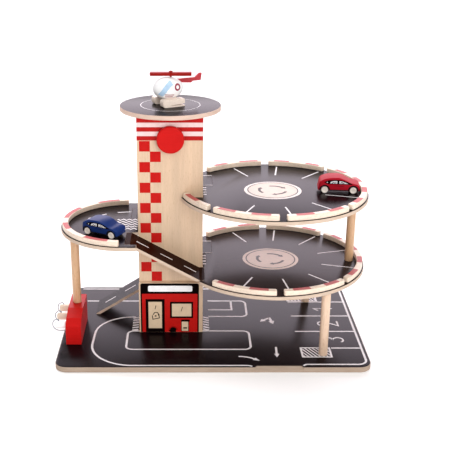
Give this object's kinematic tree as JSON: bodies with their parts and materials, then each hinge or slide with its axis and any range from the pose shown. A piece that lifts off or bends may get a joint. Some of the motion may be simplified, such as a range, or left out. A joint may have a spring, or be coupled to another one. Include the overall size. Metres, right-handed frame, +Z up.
{
  "type": "toy parking garage with lift",
  "caption": "Wooden toy parking garage: round decks, spiralling ramps, a tower with a hand-wound lift, a helipad with a helicopter, a fuel pump and toy cars.",
  "frame": {"origin": "middle of the base board's underside", "axes": "+X towards the round decks, +Y towards the back, +Z up"},
  "size_m": [0.5809, 0.3565, 0.4929],
  "materials": {
    "natural_wood": "clear satin",
    "black_lacquer": "gloss lacquer",
    "red_paint": "satin paint",
    "blue_paint": "satin paint",
    "white_paint": "satin paint",
    "hose_cord": "elastic braid",
    "lift_cord": "twisted cord"
  },
  "bodies": {
    "garage": {"base_board": "black_lacquer", "tower_front_panel": "natural_wood", "tower_back_panel": "natural_wood", "tower_shaft_wall": "natural_wood", "lift_guide_rail": "natural_wood", "helipad": "black_lacquer", "service_board": "red_paint", "left_deck": "black_lacquer", "lower_deck": "black_lacquer", "upper_deck": "black_lacquer", "left_kerb": "natural_wood", "upper_kerb_1": "natural_wood", "upper_kerb_2": "natural_wood", "upper_kerb_3": "natural_wood", "upper_kerb_4": "natural_wood", "upper_kerb_5": "natural_wood", "upper_kerb_6": "natural_wood", "lower_kerb_1": "natural_wood", "lower_kerb_2": "natural_wood", "lower_kerb_3": "natural_wood", "lower_kerb_4": "natural_wood", "lower_kerb_5": "natural_wood", "ramp_base_to_lower": "black_lacquer", "ramp_left_to_upper": "black_lacquer", "ramp_lower_to_left": "black_lacquer", "lower_post_front": "natural_wood", "lower_post_rear": "natural_wood", "upper_post": "natural_wood", "pump_post": "natural_wood", "pump_block": "red_paint"},
    "lift_cabin": {"lift_floor": "black_lacquer", "lift_back": "natural_wood", "lift_roof": "red_paint", "lift_cord": "lift_cord"},
    "lift_drive": {"lift_knob": "red_paint", "lift_spool": "natural_wood"},
    "front_nozzle": {"nozzle_front": "white_paint", "hose_front": "hose_cord"},
    "middle_nozzle": {"nozzle_middle": "natural_wood", "hose_middle": "hose_cord"},
    "rear_nozzle": {"nozzle_rear": "natural_wood", "hose_rear": "hose_cord"},
    "red_car": {"red_car_body": "red_paint"},
    "red_car_front_wheels": {"red_car_front_axle_wheel": "natural_wood", "red_car_front_bored_wheel": "natural_wood"},
    "red_car_rear_wheels": {"red_car_rear_axle_wheel": "natural_wood", "red_car_rear_bored_wheel": "natural_wood"},
    "blue_car": {"blue_car_body": "blue_paint"},
    "blue_car_front_wheels": {"blue_car_front_axle_wheel": "natural_wood", "blue_car_front_bored_wheel": "natural_wood"},
    "blue_car_rear_wheels": {"blue_car_rear_axle_wheel": "natural_wood", "blue_car_rear_bored_wheel": "natural_wood"},
    "helicopter": {"heli_body": "white_paint", "heli_tail": "red_paint", "heli_skid_left": "natural_wood", "heli_skid_right": "natural_wood", "heli_rotor_pin": "natural_wood"},
    "rotor": {"heli_rotor": "red_paint"}
  },
  "joints": [
    {"name": "lift_slide", "type": "slide", "parent": "garage", "child": "lift_cabin", "axis": [0, 0, 1], "range_m": [0, 0.2624], "deforming": ["lift_cord"]},
    {"name": "knob_turn", "type": "hinge", "parent": "garage", "child": "lift_drive", "pos_m": [-0.0755, 0, 0.3855], "axis": [0, 1, 0], "range_deg": [0, 1343]},
    {"name": "front_nozzle_pull", "type": "slide", "parent": "garage", "child": "front_nozzle", "axis": [-1, 0, 0], "range_m": [0, 0.02]},
    {"name": "middle_nozzle_pull", "type": "slide", "parent": "garage", "child": "middle_nozzle", "axis": [-1, 0, 0], "range_m": [0, 0.02]},
    {"name": "rear_nozzle_pull", "type": "slide", "parent": "garage", "child": "rear_nozzle", "axis": [-1, 0, 0], "range_m": [0, 0.02]},
    {"name": "red_car_lift", "type": "slide", "parent": "garage", "child": "red_car", "axis": [0, 0, 1], "range_m": [0, 0.05]},
    {"name": "red_car_front_wheels_turn", "type": "hinge", "parent": "red_car", "child": "red_car_front_wheels", "pos_m": [0.25775, 0.00297, 0.2843], "axis": [0.1045, 0.9945, 0], "continuous": true},
    {"name": "red_car_rear_wheels_turn", "type": "hinge", "parent": "red_car", "child": "red_car_rear_wheels", "pos_m": [0.20653, 0.00835, 0.2843], "axis": [0.1045, 0.9945, 0], "continuous": true},
    {"name": "blue_car_lift", "type": "slide", "parent": "garage", "child": "blue_car", "axis": [0, 0, 1], "range_m": [0, 0.05]},
    {"name": "blue_car_front_wheels_turn", "type": "hinge", "parent": "blue_car", "child": "blue_car_front_wheels", "pos_m": [-0.17458, -0.05048, 0.2163], "axis": [0.4848, 0.8746, 0], "continuous": true},
    {"name": "blue_car_rear_wheels_turn", "type": "hinge", "parent": "blue_car", "child": "blue_car_rear_wheels", "pos_m": [-0.21962, -0.02552, 0.2163], "axis": [0.4848, 0.8746, 0], "continuous": true},
    {"name": "helicopter_lift", "type": "slide", "parent": "garage", "child": "helicopter", "axis": [0, 0, 1], "range_m": [0, 0.06]},
    {"name": "rotor_spin", "type": "hinge", "parent": "helicopter", "child": "rotor", "pos_m": [-0.0755, 0.0415, 0.485], "axis": [0, 0, 1], "continuous": true}
  ],
  "couplings": [
    {"joint": "knob_turn", "follows": "lift_slide", "rad_per_m": 89.286}
  ]
}
